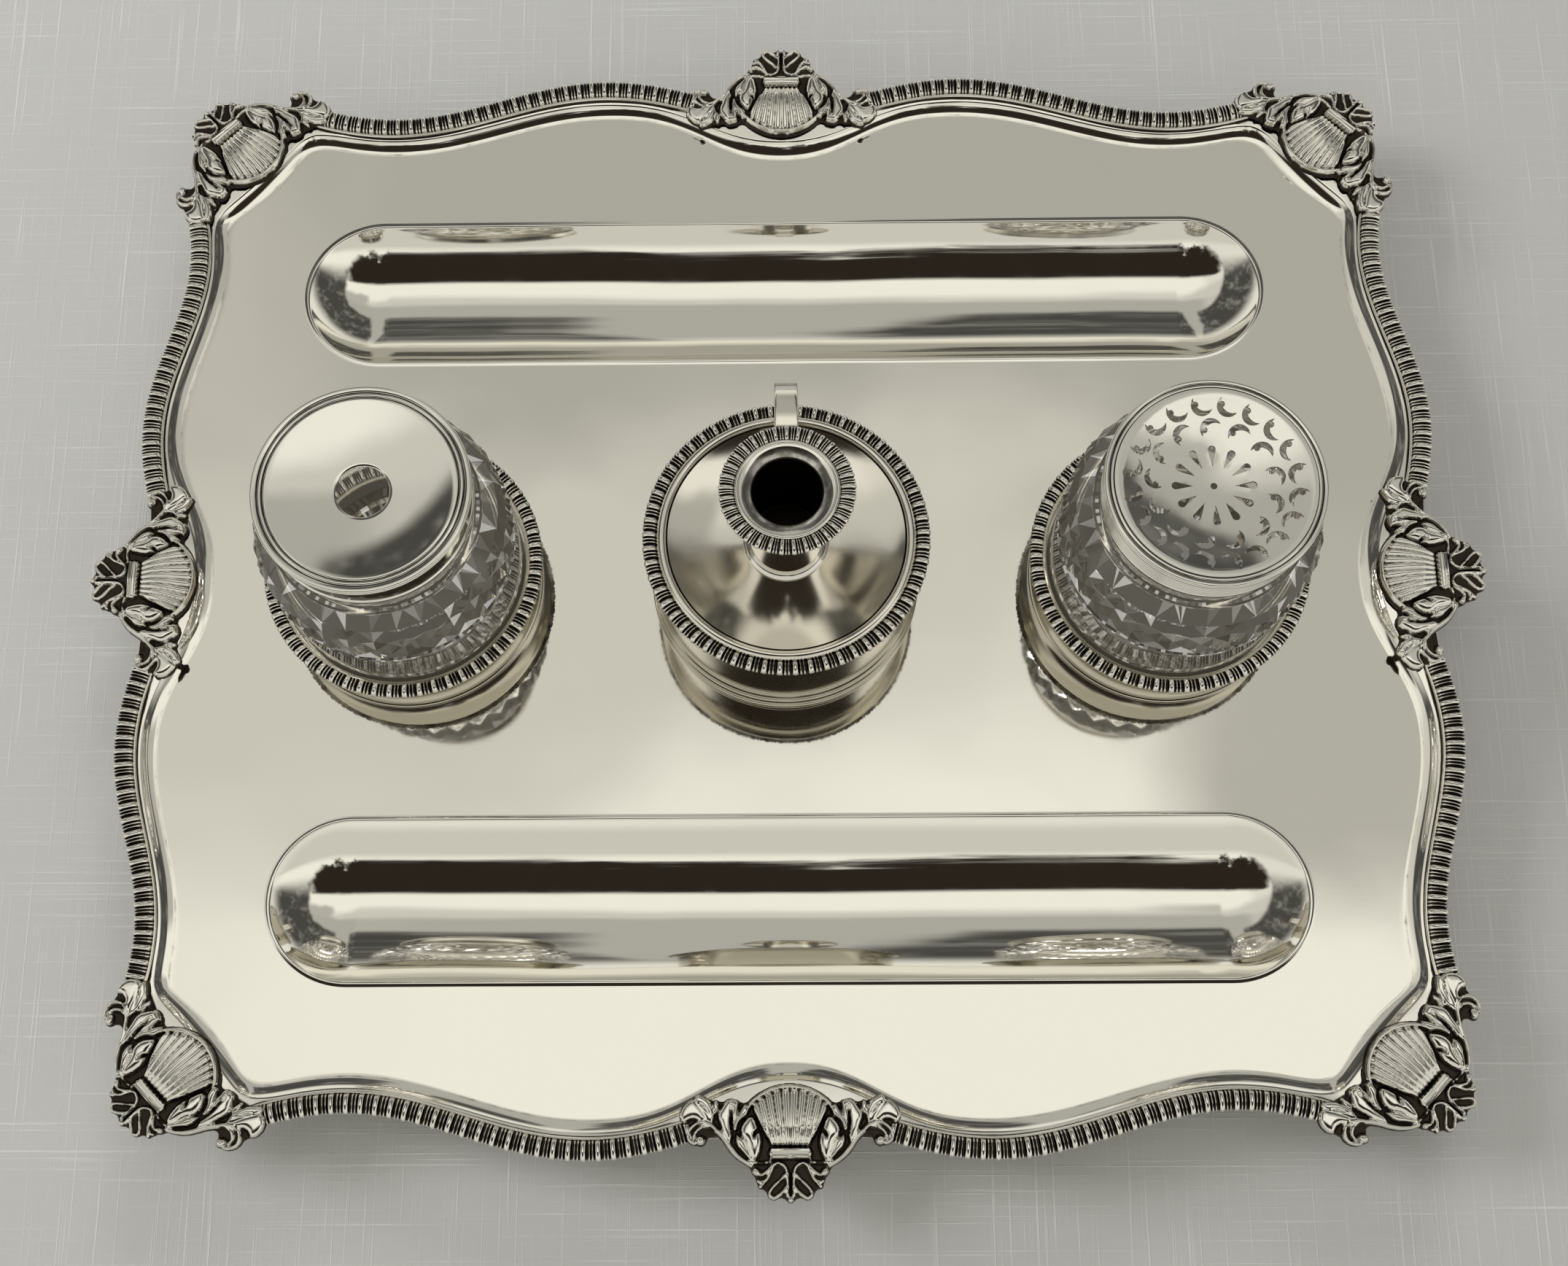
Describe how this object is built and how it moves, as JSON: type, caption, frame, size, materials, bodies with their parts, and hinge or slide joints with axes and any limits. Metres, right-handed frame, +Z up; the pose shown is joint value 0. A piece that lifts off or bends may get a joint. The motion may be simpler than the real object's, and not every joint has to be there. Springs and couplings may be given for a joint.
{
  "type": "desk inkstand",
  "caption": "Footed metal desk tray with a gadroon and shell border, pen troughs, an ink bottle, a pounce pot, and a wafer box under a taperstick cover.",
  "frame": {"origin": "on the table, under the middle of the tray, level with the bottoms of the feet", "axes": "+X to the right along the tray's length, towards the pounce pot; +Y to the back; +Z up"},
  "size_m": [0.37, 0.3224, 0.0828],
  "materials": {
    "plain_silver": "polished silver",
    "cast_silver": "polished cast silver, dark in the hollows",
    "cut_glass": "clear cut glass"
  },
  "bodies": {
    "tray": {"tray": "plain_silver", "border_back_left": "cast_silver", "border_back_right": "cast_silver", "border_front_left": "cast_silver", "border_front_right": "cast_silver", "border_left_back": "cast_silver", "border_left_front": "cast_silver", "border_right_back": "cast_silver", "border_right_front": "cast_silver", "mount_back": "cast_silver", "mount_front": "cast_silver", "mount_left": "cast_silver", "mount_right": "cast_silver", "mount_back_left": "cast_silver", "mount_back_right": "cast_silver", "mount_front_left": "cast_silver", "mount_front_right": "cast_silver", "foot_back_left": "plain_silver", "foot_back_right": "plain_silver", "foot_front_left": "plain_silver", "foot_front_right": "plain_silver", "ink_holder": "plain_silver", "ink_holder_rim": "cast_silver", "pounce_holder": "plain_silver", "pounce_holder_rim": "cast_silver", "wafer_box": "plain_silver"},
    "ink_bottle": {"ink_bottle": "cut_glass"},
    "ink_cap": {"ink_cap": "plain_silver"},
    "pounce_bottle": {"pounce_bottle": "cut_glass"},
    "pounce_cap": {"pounce_cap": "plain_silver", "pierced_disc": "plain_silver"},
    "taper_cover": {"cover": "plain_silver", "cover_rim": "cast_silver", "socket": "plain_silver", "finger_loop": "plain_silver"},
    "nozzle": {"nozzle": "plain_silver", "nozzle_rim": "cast_silver"}
  },
  "joints": [
    {"name": "ink_bottle_lift", "type": "slide", "parent": "tray", "child": "ink_bottle", "axis": [0, 0, 1], "range_m": [0, 0.05]},
    {"name": "ink_cap_lift", "type": "slide", "parent": "ink_bottle", "child": "ink_cap", "axis": [0, 0, 1], "range_m": [0, 0.03]},
    {"name": "pounce_bottle_lift", "type": "slide", "parent": "tray", "child": "pounce_bottle", "axis": [0, 0, 1], "range_m": [0, 0.05]},
    {"name": "pounce_cap_lift", "type": "slide", "parent": "pounce_bottle", "child": "pounce_cap", "axis": [0, 0, 1], "range_m": [0, 0.03]},
    {"name": "taper_cover_lift", "type": "slide", "parent": "tray", "child": "taper_cover", "axis": [0, 0, 1], "range_m": [0, 0.05]},
    {"name": "nozzle_lift", "type": "slide", "parent": "taper_cover", "child": "nozzle", "axis": [0, 0, 1], "range_m": [0, 0.035]}
  ]
}
